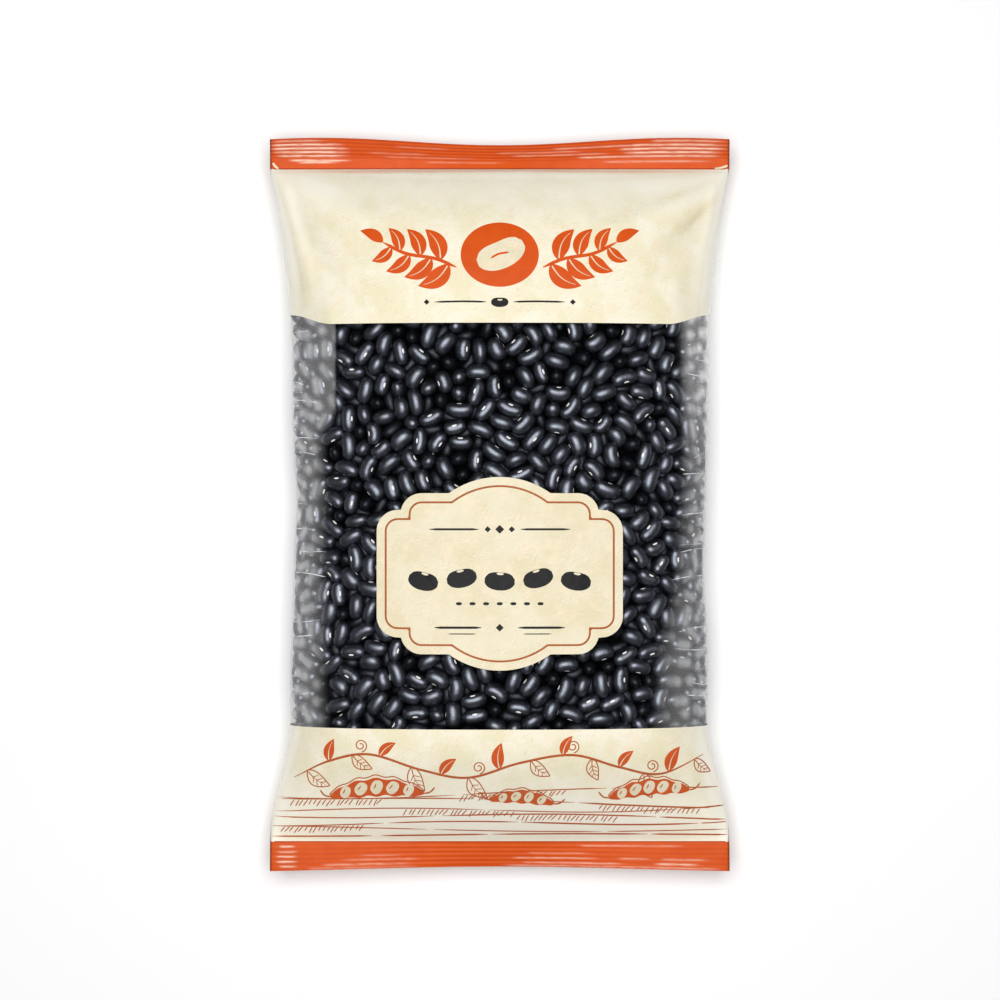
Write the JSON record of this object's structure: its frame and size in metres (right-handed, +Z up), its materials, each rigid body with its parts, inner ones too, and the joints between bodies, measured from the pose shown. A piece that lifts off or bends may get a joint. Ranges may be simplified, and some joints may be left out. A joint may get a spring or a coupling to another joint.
{
  "type": "bag of dried beans",
  "caption": "Sealed pillow bag filled with dried black beans, lying on its back, with crimped seals at both ends and a clear window over the beans.",
  "frame": {"origin": "middle of the bag's underside, on the surface that it lies on", "axes": "+X across the bag to the right of the printed front, +Y lengthwise to the top seal, +Z up out of the printed front"},
  "size_m": [0.18, 0.287, 0.046],
  "materials": {
    "bag_film": "glossy clear film, printed cream and orange, smooth with soft creases",
    "dried_beans": "smooth bean skin, near black with a soft sheen"
  },
  "bodies": {
    "root": {"bag": "bag_film"}
  },
  "joints": []
}
